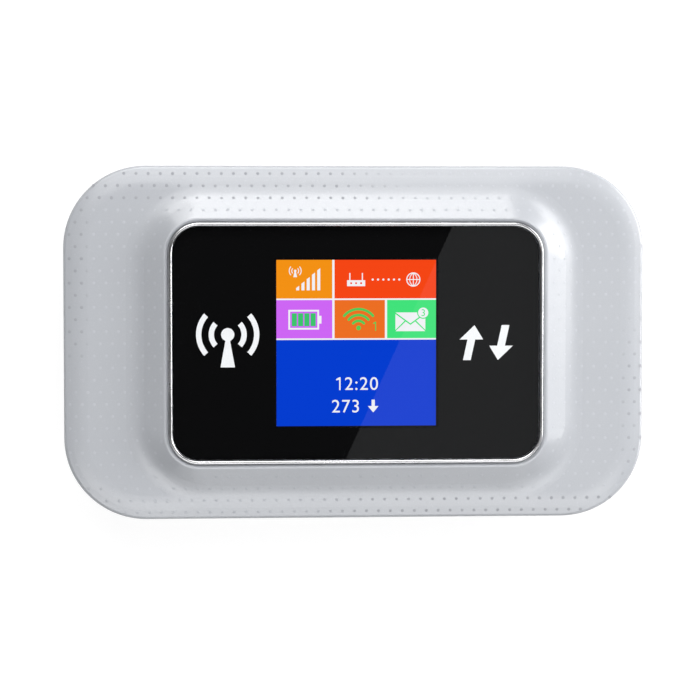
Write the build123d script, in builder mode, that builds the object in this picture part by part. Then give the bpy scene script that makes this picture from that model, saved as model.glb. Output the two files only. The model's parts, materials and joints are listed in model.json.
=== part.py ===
from build123d import *
import os

# Mobile hotspot, lying on its back cover with the display facing up. Millimetres.
# X runs along the long side, Y across it and Z up through the display.
# The origin is the middle of the back cover's flat outer face.

# ---- Driving dimensions: outline and heights ----
BODY_LENGTH = 93.0  # widest outline, at the front cover's lower edge
BODY_WIDTH = 56.4
BODY_CORNER = 13.1
COVER_SEAM_Z = 3.2  # back cover meets middle housing
FRONT_SEAM_Z = 8.6  # middle housing meets front cover
PLATEAU_Z = 11.9  # flat border round the raised centre
BOSS_Z = 14.2  # rim of the raised centre
RING_TOP_Z = 14.5  # highest point of the object
SEAM_INSET = 0.9  # how far the side leans in at the back cover's seam
BACK_INSET = 2.0  # and at the back face
EDGE_ROUND = 0.6
EDGE_FALL = 0.65  # how far the border falls away at its outer edge
EDGE_FALL_REACH = 2.6
EDGE_FALL_BLEND = 10.0
BACK_ROUND = 2.4
PAST = 0.1  # how far a cut runs past the face it opens

# ---- Raised centre, ring and window ----
FOOT_LENGTH = 70.2
FOOT_WIDTH = 48.4
FOOT_CORNER = 12.0
FOOT_BLEND = 6.5
WINDOW_LENGTH = 58.5
WINDOW_WIDTH = 37.1
WINDOW_CORNER = 4.2
WINDOW_TOP_Z = 14.3
RING_GAP = 0.05  # between window and ring
RING_WALL = 0.6
RECESS_GAP = 0.1  # between ring and front cover
RECESS_CHAMFER = 0.35
RIM_FLAT = 0.2  # flat rim outside the chamfer
RIM_ROUND = 0.5
RING_ROUND = 0.27
WINDOW_CHAMFER = 0.12
LEDGE_Z = 13.15  # the window stack and the ring stand on this ledge
LEDGE_THICKNESS = 0.5
LEDGE_REACH = 1.5
ADHESIVE_WIDTH = 1.3
ADHESIVE = 0.10
INK = 0.05
PRINT = 0.04
LAYER_GAP = 0.01
PRINT_Z = LEDGE_Z + ADHESIVE + INK + LAYER_GAP
WINDOW_LOW_Z = PRINT_Z + PRINT + LAYER_GAP

# ---- Shell walls ----
FRONT_WALL = 1.4
FRONT_ROOF = 1.2
SLOPE_WALL = 1.2
SLOPE_TOP_GROW = 1.4  # room under the ledge, outside the window's outline
BAND_INSET = 2.4  # the middle housing's inner wall, from the widest outline
BACK_FLOOR = 1.2
BACK_FLOOR_INSET = 1.0
BACK_FLOOR_ROUND = 1.3
TONGUE = 0.7  # push-in tongues of the back cover
TONGUE_INSET = 0.45  # middle of a tongue, inside the housing's inner wall
TONGUE_LOW_Z = 1.9
TONGUE_HIGH_Z = 4.6
NOTCH_LENGTH = 16.0
NOTCH_HEIGHT = 2.8
NOTCH_DEPTH = 0.8
SHELF_LOW_Z = 6.3  # shelf between the battery and the main board
SHELF_HIGH_Z = 7.1
SHELF_PLAY = 0.3  # round what passes through the shelf
SEAM_CHAMFER = 0.2

# ---- Main board, screws ----
BOARD_LOW_Z = 7.7
BOARD_HIGH_Z = 8.5
BOARD_LENGTH = 86.6
BOARD_WIDTH = 50.2
BOARD_CORNER_LESS = 0.8  # than the housing's inner corner
SCREW_PLACES = [(40.6, 19.2), (40.6, -19.2), (-38.5, 21.2), (-38.5, -21.2)]
SCREW_RADIUS = 0.8
SCREW_HEAD_RADIUS = 1.45
SCREW_HEAD = 1.0
SCREW_HEAD_ROUND = 0.3
SCREW_REACH_Z = 10.6
SCREW_PLAY = 0.03
SCREW_PASS = 0.2  # screws pass shelf and board with this clearance
CROSS_LENGTH = 1.7
CROSS_WIDTH = 0.4
CROSS_DEPTH = 0.55
POST_RADIUS = 2.0

# ---- Battery and its bay ----
BATTERY_LENGTH = 54.0
BATTERY_WIDTH = 44.0
BATTERY_LOW_Z = 1.5
BATTERY_HIGH_Z = 5.9
BATTERY_X = 11.0  # middle of the battery
BATTERY_CAP = 2.0  # moulded cap with the contacts, at the -X end
BAY_PLAY = 0.2
BAY_WALL = 0.8
BAY_LOW_Z = 1.45
BAY_CORNER = 0.6
BAY_OUTER_CORNER = 2.0
CELL_ROUND = 1.5
CELL_END_ROUND = 0.8
CONNECTOR_WIDTH = 12.0
CONNECTOR_DEPTH = 2.9
CONNECTOR_BACK = 2.35  # middle of the connector, behind the battery's end
CONNECTOR_LOW_Z = 2.8
CONTACT_PITCH = 4.0
CONTACT_WIDTH = 2.4
CONTACT_HEIGHT = 2.6

# ---- Card bay and SIM ----
CARD_BAY = (-41.0, -20.0, -19.0, 18.0)  # low x, high x, low y, high y
CARD_BAY_CORNER = 1.5
SIM_X = -31.0
SIM_LENGTH = 15.0
SIM_WIDTH = 12.0
SIM_THICKNESS = 0.76
SIM_LOW_Z = 6.75
SIM_Y = 7.0  # middle of the card, fully in
HOLDER_LOW_Z = 6.3
HOLDER_LENGTH = 13.0
HOLDER_WALL = 1.0
CARD_PLAY = 0.05
CARD_CUT = 2.2
CARD_ROUND = 1.0

# ---- Side keys ----
KEY_Z = 4.95
KEY_HEIGHT = 2.2
KEY_REACH = 2.4  # from the flange to the pressed face
KEY_PLAY = 0.12
FLANGE = 0.6
FLANGE_GAP = 0.2
FLANGE_LIP = 1.2
KEY_ROUND = 0.3
POWER_KEY_Y = 10.4
POWER_KEY_LENGTH = 10.0
WPS_KEY_X = -30.0
WPS_KEY_LENGTH = 7.0
SWITCH_WIDTH = 4.8
SWITCH_DEPTH = 2.1
SWITCH_LOW_Z = 4.1
SWITCH_SETBACK = 1.7  # switch front, inside the housing's inner wall
PLUNGER_RADIUS = 0.6
PLUNGER_PLAY = 0.05
PLUNGER_LENGTH = 1.3
SWITCH_BORE = 0.9
SWITCH_CHAMFER = 0.3
RESET_PLACE = (-22.2, -14.0)
RESET_BODY = 3.2
RESET_HEIGHT = 1.0
RESET_ROOF = 0.2
RESET_BORE_RADIUS = 0.85
RESET_PIN_RADIUS = 0.8
RESET_PIN_LENGTH = 0.9

# ---- USB socket ----
USB_WIDTH = 7.5
USB_HEIGHT = 2.6
USB_DEPTH = 5.2
USB_MOUTH_X = 45.5
USB_SHEET = 0.25
USB_CORNER = 0.8
USB_LOW_CORNER = 1.0
USB_CUT_PLAY = 0.25
USB_TONGUE_WIDTH = 3.8
USB_TONGUE = 0.65
USB_TONGUE_LIFT = 0.35
USB_BLOCK = 1.1  # back block of the socket
USB_BLOCK_WIDTH = 5.3
USB_TONGUE_SETBACK = 0.6
USB_STRIP = 0.1

# ---- Display module ----
LCD_LENGTH = 30.5
LCD_WIDTH = 32.0
LCD_Y = -1.0
LCD_LOW_Z = 10.7
LCD_TOP_Z = 13.0
LCD_WALL = 0.7
LCD_CORNER = 0.5
LCD_GLASS = 1.0
LCD_PLAY = 0.05  # round the light guide and the glass
TRAY_FLOOR = 0.2
GLASS_SETBACK = 0.2
VIEW_LENGTH = 26.1  # clear opening in the black print
VIEW_WIDTH = 27.1
GASKET_SETBACK = 0.9  # the gasket's opening is this much larger
FLEX = 0.12
FLEX_WIDTH = 12.0
FLEX_BEND = 1.55
FLEX_DROP = 0.92  # the ribbon's middle, below the top of the display
SHIELD_TOP_Z = 10.3
SHIELD_SHEET = 0.2
SHIELD_CORNER = 0.6
SHIELD_ROUND = 0.25
CHIP = 0.8
MODEM_CHIP = 0.9
ANTENNA = 0.12
ANTENNA_DROP = 0.15  # antenna's lower face, below the front cover's roof
LABEL = 0.05
LABEL_CORNER = 1.0

# ---- Worked out from the above ----
HALF_LENGTH = BODY_LENGTH / 2
HALF_WIDTH = BODY_WIDTH / 2
BAND_X = HALF_LENGTH - BAND_INSET
BAND_Y = HALF_WIDTH - BAND_INSET
BAND_CORNER = BODY_CORNER - BAND_INSET
RING_IN = RING_GAP
RING_OUT = RING_GAP + RING_WALL
RECESS = RING_OUT + RECESS_GAP
BOSS_EDGE = RECESS + RECESS_CHAMFER + RIM_FLAT
BAY_HALF_LENGTH = BATTERY_LENGTH / 2 + BAY_PLAY
BAY_HALF_WIDTH = BATTERY_WIDTH / 2 + BAY_PLAY
BATTERY_END_X = BATTERY_X - BATTERY_LENGTH / 2
BATTERY_MIDDLE_Z = (BATTERY_LOW_Z + BATTERY_HIGH_Z) / 2
BATTERY_HEIGHT = BATTERY_HIGH_Z - BATTERY_LOW_Z
ROOF_Z = PLATEAU_Z - FRONT_ROOF
USB_MIDDLE_Z = BOARD_LOW_Z - USB_HEIGHT / 2
USB_BACK_X = USB_MOUTH_X - USB_DEPTH
FLEX_Z = LCD_TOP_Z - FLEX_DROP
FLEX_LOW_Z = FLEX_Z - 2 * FLEX_BEND
SIDE_X = Plane(origin=(BAND_X, 0, 0), x_dir=(0, 1, 0), z_dir=(1, 0, 0))
SIDE_Y = Plane(origin=(0, -BAND_Y, 0), x_dir=(1, 0, 0), z_dir=(0, -1, 0))
USB_BACK = Plane(origin=(USB_BACK_X, 0, USB_MIDDLE_Z), x_dir=(0, 1, 0), z_dir=(1, 0, 0))


def level_face(piece, height):
    """The largest flat face of a piece that lies level at a height."""
    near = 0.01
    level = piece.faces().filter_by(Plane.XY).filter_by_position(Axis.Z, height - near, height + near)
    return level.sort_by(SortBy.AREA)[-1]


def level_edges(piece, height):
    """The edges of a piece whose middles are at a height."""
    near = 0.01
    return piece.edges().filter_by_position(Axis.Z, height - near, height + near)


def slab(length, width, low, high, place=(0, 0), corner=0.0):
    """A flat block between two heights, its upright corners rounded where a corner is given."""
    with BuildPart() as piece:
        with BuildSketch(Plane.XY.offset(low)):
            with Locations(place):
                if corner > 0:
                    RectangleRounded(length, width, corner)
                else:
                    Rectangle(length, width)
        extrude(amount=high - low)
    return piece


def window_layer(grow, low, high, open_length=0.0, open_width=0.0, open_corner=0.3):
    """A layer with the window's outline grown by a margin, with a rounded opening if one is given."""
    with BuildPart() as piece:
        with BuildSketch(Plane.XY.offset(low)):
            RectangleRounded(WINDOW_LENGTH + 2 * grow, WINDOW_WIDTH + 2 * grow, WINDOW_CORNER + grow)
            if open_length > 0:
                RectangleRounded(open_length, open_width, open_corner, mode=Mode.SUBTRACT)
        extrude(amount=high - low)
    return piece


# ================= Shells =================


def make_front_cover():
    """White front shell: flat border, raised centre, window ledge and four screw posts."""
    with BuildPart() as cover:
        with BuildSketch(Plane.XY.offset(FRONT_SEAM_Z)):
            RectangleRounded(BODY_LENGTH, BODY_WIDTH, BODY_CORNER)
        extrude(amount=PLATEAU_Z - FRONT_SEAM_Z)
        with BuildSketch(Plane.XY.offset(PLATEAU_Z)):
            RectangleRounded(FOOT_LENGTH, FOOT_WIDTH, FOOT_CORNER)
        with BuildSketch(Plane.XY.offset(BOSS_Z)):
            RectangleRounded(
                WINDOW_LENGTH + 2 * BOSS_EDGE,
                WINDOW_WIDTH + 2 * BOSS_EDGE,
                WINDOW_CORNER + BOSS_EDGE,
            )
        loft()
        fillet(level_face(cover, PLATEAU_Z).inner_wires()[0].edges(), FOOT_BLEND)
        border = level_face(cover, PLATEAU_Z)
        chamfer(border.outer_wire().edges(), EDGE_FALL_REACH, EDGE_FALL, reference=border)
        fillet(level_face(cover, PLATEAU_Z).outer_wire().edges(), EDGE_FALL_BLEND)
        fillet(level_edges(cover, PLATEAU_Z - EDGE_FALL), EDGE_ROUND)
        fillet(cover.faces().sort_by(Axis.Z)[-1].outer_wire().edges(), RIM_ROUND)
        # hollow inside: low room under the border, tapering room under the raised centre
        with BuildSketch(Plane.XY.offset(FRONT_SEAM_Z)):
            RectangleRounded(
                BODY_LENGTH - 2 * FRONT_WALL,
                BODY_WIDTH - 2 * FRONT_WALL,
                BODY_CORNER - FRONT_WALL,
            )
        extrude(amount=ROOF_Z - FRONT_SEAM_Z, mode=Mode.SUBTRACT)
        with BuildSketch(Plane.XY.offset(ROOF_Z - LAYER_GAP)):
            RectangleRounded(
                FOOT_LENGTH - 2 * SLOPE_WALL,
                FOOT_WIDTH - 2 * SLOPE_WALL,
                FOOT_CORNER - SLOPE_WALL,
            )
        with BuildSketch(Plane.XY.offset(LEDGE_Z - LEDGE_THICKNESS)):
            RectangleRounded(
                WINDOW_LENGTH + 2 * SLOPE_TOP_GROW,
                WINDOW_WIDTH + 2 * SLOPE_TOP_GROW,
                WINDOW_CORNER + SLOPE_TOP_GROW,
            )
        loft(mode=Mode.SUBTRACT)
        # recess for ring and window, then the opening that leaves the ledge
        with BuildSketch(Plane.XY.offset(LEDGE_Z)):
            RectangleRounded(
                WINDOW_LENGTH + 2 * RECESS,
                WINDOW_WIDTH + 2 * RECESS,
                WINDOW_CORNER + RECESS,
            )
        extrude(amount=BOSS_Z - LEDGE_Z, mode=Mode.SUBTRACT)
        with BuildSketch(Plane.XY.offset(LEDGE_Z - LEDGE_THICKNESS - PAST)):
            RectangleRounded(
                WINDOW_LENGTH - 2 * LEDGE_REACH,
                WINDOW_WIDTH - 2 * LEDGE_REACH,
                WINDOW_CORNER - LEDGE_REACH,
            )
        extrude(amount=LEDGE_THICKNESS + 2 * PAST, mode=Mode.SUBTRACT)
        chamfer(cover.faces().sort_by(Axis.Z)[-1].inner_wires()[0].edges(), RECESS_CHAMFER)
        # screw posts down to the main board
        with BuildSketch(Plane.XY.offset(BOARD_HIGH_Z)):
            with Locations(*SCREW_PLACES):
                Circle(POST_RADIUS)
        extrude(amount=ROOF_Z + PAST - BOARD_HIGH_Z)
        with BuildSketch(Plane.XY.offset(BOARD_HIGH_Z)):
            with Locations(*SCREW_PLACES):
                Circle(SCREW_RADIUS + SCREW_PLAY)
        extrude(amount=SCREW_REACH_Z + PAST - BOARD_HIGH_Z, mode=Mode.SUBTRACT)
        chamfer(level_face(cover, FRONT_SEAM_Z).outer_wire().edges(), SEAM_CHAMFER)
    return cover


def make_middle_housing():
    """Side band with the shelf over the battery, the battery bay's walls and the side openings."""
    low_x, high_x, low_y, high_y = CARD_BAY
    shelf = SHELF_HIGH_Z - SHELF_LOW_Z
    with BuildPart() as housing:
        with BuildSketch(Plane.XY.offset(COVER_SEAM_Z)):
            RectangleRounded(
                BODY_LENGTH - 2 * SEAM_INSET,
                BODY_WIDTH - 2 * SEAM_INSET,
                BODY_CORNER - SEAM_INSET,
            )
        with BuildSketch(Plane.XY.offset(FRONT_SEAM_Z)):
            RectangleRounded(BODY_LENGTH, BODY_WIDTH, BODY_CORNER)
        loft()
        for height in (COVER_SEAM_Z, FRONT_SEAM_Z):
            chamfer(level_face(housing, height).outer_wire().edges(), SEAM_CHAMFER)
        # rooms above and below the shelf
        for low, high in ((COVER_SEAM_Z, SHELF_LOW_Z), (SHELF_HIGH_Z, FRONT_SEAM_Z)):
            with BuildSketch(Plane.XY.offset(low)):
                RectangleRounded(2 * BAND_X, 2 * BAND_Y, BAND_CORNER)
            extrude(amount=high - low, mode=Mode.SUBTRACT)
        # battery bay walls
        with BuildSketch(Plane.XY.offset(BAY_LOW_Z)):
            with Locations((BATTERY_X, 0)):
                RectangleRounded(
                    2 * (BAY_HALF_LENGTH + BAY_WALL),
                    2 * (BAY_HALF_WIDTH + BAY_WALL),
                    BAY_OUTER_CORNER,
                )
                RectangleRounded(
                    2 * BAY_HALF_LENGTH, 2 * BAY_HALF_WIDTH, BAY_CORNER, mode=Mode.SUBTRACT
                )
        extrude(amount=SHELF_LOW_Z + PAST - BAY_LOW_Z)
        # stand-offs under the board
        with BuildSketch(Plane.XY.offset(SHELF_HIGH_Z)):
            with Locations(*SCREW_PLACES):
                Circle(POST_RADIUS)
        extrude(amount=BOARD_LOW_Z - SHELF_HIGH_Z)
        with BuildSketch(Plane.XY.offset(SHELF_LOW_Z - PAST)):
            with Locations(*SCREW_PLACES):
                Circle(SCREW_RADIUS + SCREW_PASS / 2)
        extrude(amount=BOARD_LOW_Z - SHELF_LOW_Z + 2 * PAST, mode=Mode.SUBTRACT)
        # through the shelf: card bay, battery connector, switches and USB socket
        with BuildSketch(Plane.XY.offset(SHELF_LOW_Z - PAST)):
            with Locations(((low_x + high_x) / 2, (low_y + high_y) / 2)):
                RectangleRounded(high_x - low_x, high_y - low_y, CARD_BAY_CORNER)
            for x, y, length, width in (
                (BATTERY_END_X - CONNECTOR_BACK, 0, CONNECTOR_DEPTH, CONNECTOR_WIDTH),
                (BAND_X - SWITCH_SETBACK - SWITCH_DEPTH / 2, POWER_KEY_Y, SWITCH_DEPTH, SWITCH_WIDTH),
                (WPS_KEY_X, SWITCH_SETBACK + SWITCH_DEPTH / 2 - BAND_Y, SWITCH_WIDTH, SWITCH_DEPTH),
                (USB_MOUTH_X - USB_DEPTH / 2, 0, USB_DEPTH, USB_WIDTH),
            ):
                with Locations((x, y)):
                    Rectangle(length + 2 * SHELF_PLAY, width + 2 * SHELF_PLAY)
        extrude(amount=shelf + 2 * PAST, mode=Mode.SUBTRACT)
        # the bay's end wall opens for the battery contacts
        with BuildSketch(Plane.XY.offset(BAY_LOW_Z)):
            with Locations((BATTERY_END_X - BAY_PLAY - BAY_WALL / 2, 0)):
                Rectangle(BAY_WALL + 2 * PAST, CONNECTOR_WIDTH + 2 * SHELF_PLAY)
        extrude(amount=SHELF_LOW_Z - BAY_LOW_Z, mode=Mode.SUBTRACT)
        # openings in the sides
        with BuildSketch(SIDE_X):
            with Locations((POWER_KEY_Y, KEY_Z)):
                SlotOverall(POWER_KEY_LENGTH + 2 * KEY_PLAY, KEY_HEIGHT + 2 * KEY_PLAY)
            with Locations((0, USB_MIDDLE_Z)):
                RectangleRounded(USB_WIDTH + 2 * USB_CUT_PLAY, USB_HEIGHT + 2 * USB_CUT_PLAY, USB_CORNER)
        extrude(amount=BAND_INSET + PAST, mode=Mode.SUBTRACT)
        with BuildSketch(SIDE_Y):
            with Locations((WPS_KEY_X, KEY_Z)):
                SlotOverall(WPS_KEY_LENGTH + 2 * KEY_PLAY, KEY_HEIGHT + 2 * KEY_PLAY)
        extrude(amount=BAND_INSET + PAST, mode=Mode.SUBTRACT)
    return housing


def make_back_cover():
    """Shallow lift-off tray with a finger notch and push-in tongues."""
    tongue_x = BAND_X - TONGUE_INSET
    tongue_y = BAND_Y - TONGUE_INSET
    with BuildPart() as cover:
        with BuildSketch(Plane.XY):
            RectangleRounded(
                BODY_LENGTH - 2 * BACK_INSET,
                BODY_WIDTH - 2 * BACK_INSET,
                BODY_CORNER - BACK_INSET,
            )
        with BuildSketch(Plane.XY.offset(COVER_SEAM_Z)):
            RectangleRounded(
                BODY_LENGTH - 2 * SEAM_INSET,
                BODY_WIDTH - 2 * SEAM_INSET,
                BODY_CORNER - SEAM_INSET,
            )
        loft()
        fillet(cover.faces().sort_by(Axis.Z)[0].edges(), BACK_ROUND)
        chamfer(cover.faces().sort_by(Axis.Z)[-1].outer_wire().edges(), SEAM_CHAMFER)
        with BuildSketch(Plane.XY.offset(BACK_FLOOR)):
            RectangleRounded(
                2 * (BAND_X - BACK_FLOOR_INSET),
                2 * (BAND_Y - BACK_FLOOR_INSET),
                BAND_CORNER - BACK_FLOOR_INSET,
            )
        with BuildSketch(Plane.XY.offset(COVER_SEAM_Z)):
            RectangleRounded(2 * BAND_X, 2 * BAND_Y, BAND_CORNER)
        loft(mode=Mode.SUBTRACT)
        fillet(level_face(cover, BACK_FLOOR).edges(), BACK_FLOOR_ROUND)
        with BuildSketch(Plane.XY.offset(TONGUE_LOW_Z)):
            with Locations((-8.0, tongue_y), (22.0, tongue_y), (-8.0, -tongue_y), (22.0, -tongue_y)):
                Rectangle(8.0, TONGUE)
            with Locations((-tongue_x, -8.0), (-tongue_x, 8.0), (tongue_x, -12.0)):
                Rectangle(TONGUE, 6.0)
        extrude(amount=TONGUE_HIGH_Z - TONGUE_LOW_Z)
        # finger notch on the -Y side
        with BuildSketch(SIDE_Y.offset(BAND_INSET - SEAM_INSET - NOTCH_DEPTH)):
            with Locations((0, COVER_SEAM_Z)):
                SlotOverall(NOTCH_LENGTH, NOTCH_HEIGHT)
        extrude(amount=NOTCH_DEPTH + SEAM_INSET, mode=Mode.SUBTRACT)
    return cover


# ================= Ring and window =================


def make_trim_ring():
    """Chromed ring that frames the window."""
    with BuildPart() as ring:
        with BuildSketch(Plane.XY.offset(LEDGE_Z)):
            RectangleRounded(
                WINDOW_LENGTH + 2 * RING_OUT,
                WINDOW_WIDTH + 2 * RING_OUT,
                WINDOW_CORNER + RING_OUT,
            )
            RectangleRounded(
                WINDOW_LENGTH + 2 * RING_IN,
                WINDOW_WIDTH + 2 * RING_IN,
                WINDOW_CORNER + RING_IN,
                mode=Mode.SUBTRACT,
            )
        extrude(amount=RING_TOP_Z - LEDGE_Z)
        fillet(ring.faces().sort_by(Axis.Z)[-1].edges(), RING_ROUND)
    return ring


def make_display_window():
    """Clear window, softened at its upper edge."""
    with BuildPart() as window:
        with BuildSketch(Plane.XY.offset(WINDOW_LOW_Z)):
            RectangleRounded(WINDOW_LENGTH, WINDOW_WIDTH, WINDOW_CORNER)
        extrude(amount=WINDOW_TOP_Z - WINDOW_LOW_Z)
        chamfer(window.faces().sort_by(Axis.Z)[-1].edges(), WINDOW_CHAMFER)
    return window


def make_radio_print():
    """White mark: a mast under a dot with two wave arcs on each side."""
    centre_x = -20.5
    centre_y = 1.4
    stroke = 0.85
    spread = 42  # degrees on either side of level
    mast = [(-0.3, -0.6), (0.3, -0.6), (1.15, -5.2), (-1.15, -5.2)]
    with BuildPart() as mark:
        with BuildSketch(Plane.XY.offset(PRINT_Z)):
            with BuildLine():
                for side in (0, 180):
                    for radius in (2.6, 4.6):
                        CenterArc((centre_x, centre_y), radius, side - spread, 2 * spread)
            trace(line_width=stroke)
            with Locations((centre_x, centre_y)):
                Circle(1.05)
            Polygon(*[(centre_x + x, centre_y + y) for x, y in mast], align=None)
        extrude(amount=PRINT)
    return mark


def make_arrows_print():
    """White mark: a leaning pair of data arrows, one up and one down."""
    centre_x = 20.8
    half_height = 2.8
    lean = 0.22
    head = [(-1.9, 0.5), (1.9, 0.5), (0.0, half_height)]
    stem = [(-0.62, -half_height), (0.62, -half_height), (0.62, 0.6), (-0.62, 0.6)]
    with BuildPart() as mark:
        with BuildSketch(Plane.XY.offset(PRINT_Z)):
            for shift, way in ((-2.5, 1), (2.5, -1)):
                for outline in (head, stem):
                    points = [(way * x, way * y) for x, y in outline]
                    Polygon(*[(centre_x + shift + x + lean * y, y) for x, y in points], align=None)
        extrude(amount=PRINT)
    return mark


# ================= Side keys and reset =================


def make_side_key(wall, along, length):
    """Key cap with its retaining flange; wall is the housing's inner wall face, pointing out."""
    with BuildPart() as key:
        with BuildSketch(wall.offset(-FLANGE_GAP - FLANGE)):
            with Locations((along, KEY_Z)):
                Rectangle(length + 2 * FLANGE_LIP, KEY_HEIGHT)
        extrude(amount=FLANGE)
        with BuildSketch(wall.offset(-FLANGE_GAP)):
            with Locations((along, KEY_Z)):
                SlotOverall(length, KEY_HEIGHT)
        extrude(amount=KEY_REACH)
        fillet(key.faces().sort_by(Axis(wall.origin, wall.z_dir))[-1].edges(), KEY_ROUND)
    return key


def make_key_plunger(wall, along):
    """Small round plunger between the key and the switch."""
    with BuildPart() as plunger:
        with BuildSketch(wall.offset(-FLANGE_GAP - FLANGE - PLUNGER_LENGTH)):
            with Locations((along, KEY_Z)):
                Circle(PLUNGER_RADIUS)
        extrude(amount=PLUNGER_LENGTH)
    return plunger


def make_side_switch(wall, along):
    """Edge-mounted switch body on the board's underside, bored for the plunger."""
    height = BOARD_LOW_Z - SWITCH_LOW_Z
    with BuildPart() as switch:
        with BuildSketch(wall.offset(-SWITCH_SETBACK - SWITCH_DEPTH)):
            with Locations((along, BOARD_LOW_Z - height / 2)):
                Rectangle(SWITCH_WIDTH, height)
        extrude(amount=SWITCH_DEPTH)
        chamfer(switch.edges().filter_by(Axis(wall.origin, wall.z_dir)), SWITCH_CHAMFER)
        with BuildSketch(wall.offset(-SWITCH_SETBACK - SWITCH_BORE)):
            with Locations((along, KEY_Z)):
                Circle(PLUNGER_RADIUS + PLUNGER_PLAY)
        extrude(amount=SWITCH_BORE + PAST, mode=Mode.SUBTRACT)
    return switch


def make_reset_switch():
    """Small square switch on the board's underside, open below for its plunger."""
    low = BOARD_LOW_Z - RESET_HEIGHT
    with BuildPart() as switch:
        with BuildSketch(Plane.XY.offset(low)):
            with Locations(RESET_PLACE):
                Rectangle(RESET_BODY, RESET_BODY)
        extrude(amount=RESET_HEIGHT)
        with BuildSketch(Plane.XY.offset(low)):
            with Locations(RESET_PLACE):
                Circle(RESET_BORE_RADIUS)
        extrude(amount=RESET_HEIGHT - RESET_ROOF, mode=Mode.SUBTRACT)
    return switch


def make_reset_plunger():
    """Round plunger that a pin pushes up into the reset switch."""
    with BuildPart() as plunger:
        with BuildSketch(Plane.XY.offset(HOLDER_LOW_Z)):
            with Locations(RESET_PLACE):
                Circle(RESET_PIN_RADIUS)
        extrude(amount=RESET_PIN_LENGTH)
    return plunger


# ================= Screws =================


def make_housing_screws():
    """Four cross-head screws that clamp housing and board to the front cover's posts."""
    head_low = SHELF_LOW_Z - SCREW_HEAD
    with BuildPart() as screws:
        with BuildSketch(Plane.XY.offset(head_low)):
            with Locations(*SCREW_PLACES):
                Circle(SCREW_HEAD_RADIUS)
        extrude(amount=SCREW_HEAD)
        fillet(screws.edges().group_by(Axis.Z)[0], SCREW_HEAD_ROUND)
        with BuildSketch(Plane.XY.offset(SHELF_LOW_Z)):
            with Locations(*SCREW_PLACES):
                Circle(SCREW_RADIUS)
        extrude(amount=SCREW_REACH_Z - SHELF_LOW_Z)
        with BuildSketch(Plane.XY.offset(head_low)):
            with Locations(*SCREW_PLACES):
                Rectangle(CROSS_LENGTH, CROSS_WIDTH)
                Rectangle(CROSS_WIDTH, CROSS_LENGTH)
        extrude(amount=CROSS_DEPTH, mode=Mode.SUBTRACT)
    return screws


# ================= Main board and what it carries =================


def make_main_board():
    """Circuit board with rounded corners and four screw holes."""
    with BuildPart() as board:
        with BuildSketch(Plane.XY.offset(BOARD_LOW_Z)):
            RectangleRounded(BOARD_LENGTH, BOARD_WIDTH, BAND_CORNER - BOARD_CORNER_LESS)
            with Locations(*SCREW_PLACES):
                Circle(SCREW_RADIUS + SCREW_PASS, mode=Mode.SUBTRACT)
        extrude(amount=BOARD_HIGH_Z - BOARD_LOW_Z)
    return board


def make_shield(length, width, place):
    """Sheet-metal can, open below, with rounded upper edges."""
    with BuildPart() as can:
        with BuildSketch(Plane.XY.offset(BOARD_HIGH_Z)):
            with Locations(place):
                RectangleRounded(length, width, SHIELD_CORNER)
        extrude(amount=SHIELD_TOP_Z - BOARD_HIGH_Z)
        fillet(can.faces().sort_by(Axis.Z)[-1].edges(), SHIELD_ROUND)
        with BuildSketch(Plane.XY.offset(BOARD_HIGH_Z)):
            with Locations(place):
                RectangleRounded(
                    length - 2 * SHIELD_SHEET, width - 2 * SHIELD_SHEET, SHIELD_CORNER - SHIELD_SHEET
                )
        extrude(amount=SHIELD_TOP_Z - SHIELD_SHEET - BOARD_HIGH_Z, mode=Mode.SUBTRACT)
    return can


def make_group(sizes, low, height):
    """Separate small blocks on one level: each is length, width, x and y."""
    with BuildPart() as group:
        for length, width, x, y in sizes:
            with BuildSketch(Plane.XY.offset(low)):
                with Locations((x, y)):
                    Rectangle(length, width)
            extrude(amount=height)
    return group


def make_board_passives():
    """Capacitors and resistors in short rows beside the shields."""
    with BuildPart() as parts:
        with BuildSketch(Plane.XY.offset(BOARD_HIGH_Z)):
            with Locations((-24.0, -14.0), (-10.0, -18.0), (37.5, 2.0)):
                with GridLocations(2.2, 1.8, 3, 4):
                    Rectangle(1.2, 0.7)
        extrude(amount=0.6)
    return parts


def make_antenna_springs():
    """Three bent contact springs from the board up to the antennas."""
    sheet = 0.15
    width = 1.2
    low = BOARD_HIGH_Z + sheet / 2
    high = ROOF_Z - ANTENNA_DROP - LAYER_GAP - sheet / 2
    with BuildPart() as springs:
        for x, y in ((-38.0, 8.0), (38.0, -8.0), (4.0, 23.4)):
            with BuildSketch(Plane.XZ.offset(-y - width / 2)):
                with BuildLine():
                    Polyline(
                        (x - 1.0, low),
                        (x + 1.0, low),
                        (x - 0.9, high),
                        (x + 0.6, high),
                    )
                trace(line_width=sheet)
            extrude(amount=width)
    return springs


# ================= Sockets =================


def make_usb_shell():
    """Folded steel shell of the charging socket, chamfered on its lower corners."""
    with BuildPart() as shell:
        for margin, mode in ((0.0, Mode.ADD), (USB_SHEET, Mode.SUBTRACT)):
            half = USB_WIDTH / 2 - margin
            top = USB_HEIGHT / 2 - margin
            with BuildSketch(USB_BACK):
                Polygon(
                    (-half, top),
                    (half, top),
                    (half, -top + USB_LOW_CORNER),
                    (half - USB_CORNER, -top),
                    (-half + USB_CORNER, -top),
                    (-half, -top + USB_LOW_CORNER),
                    align=None,
                )
            extrude(amount=USB_DEPTH, mode=mode)
    return shell


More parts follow.
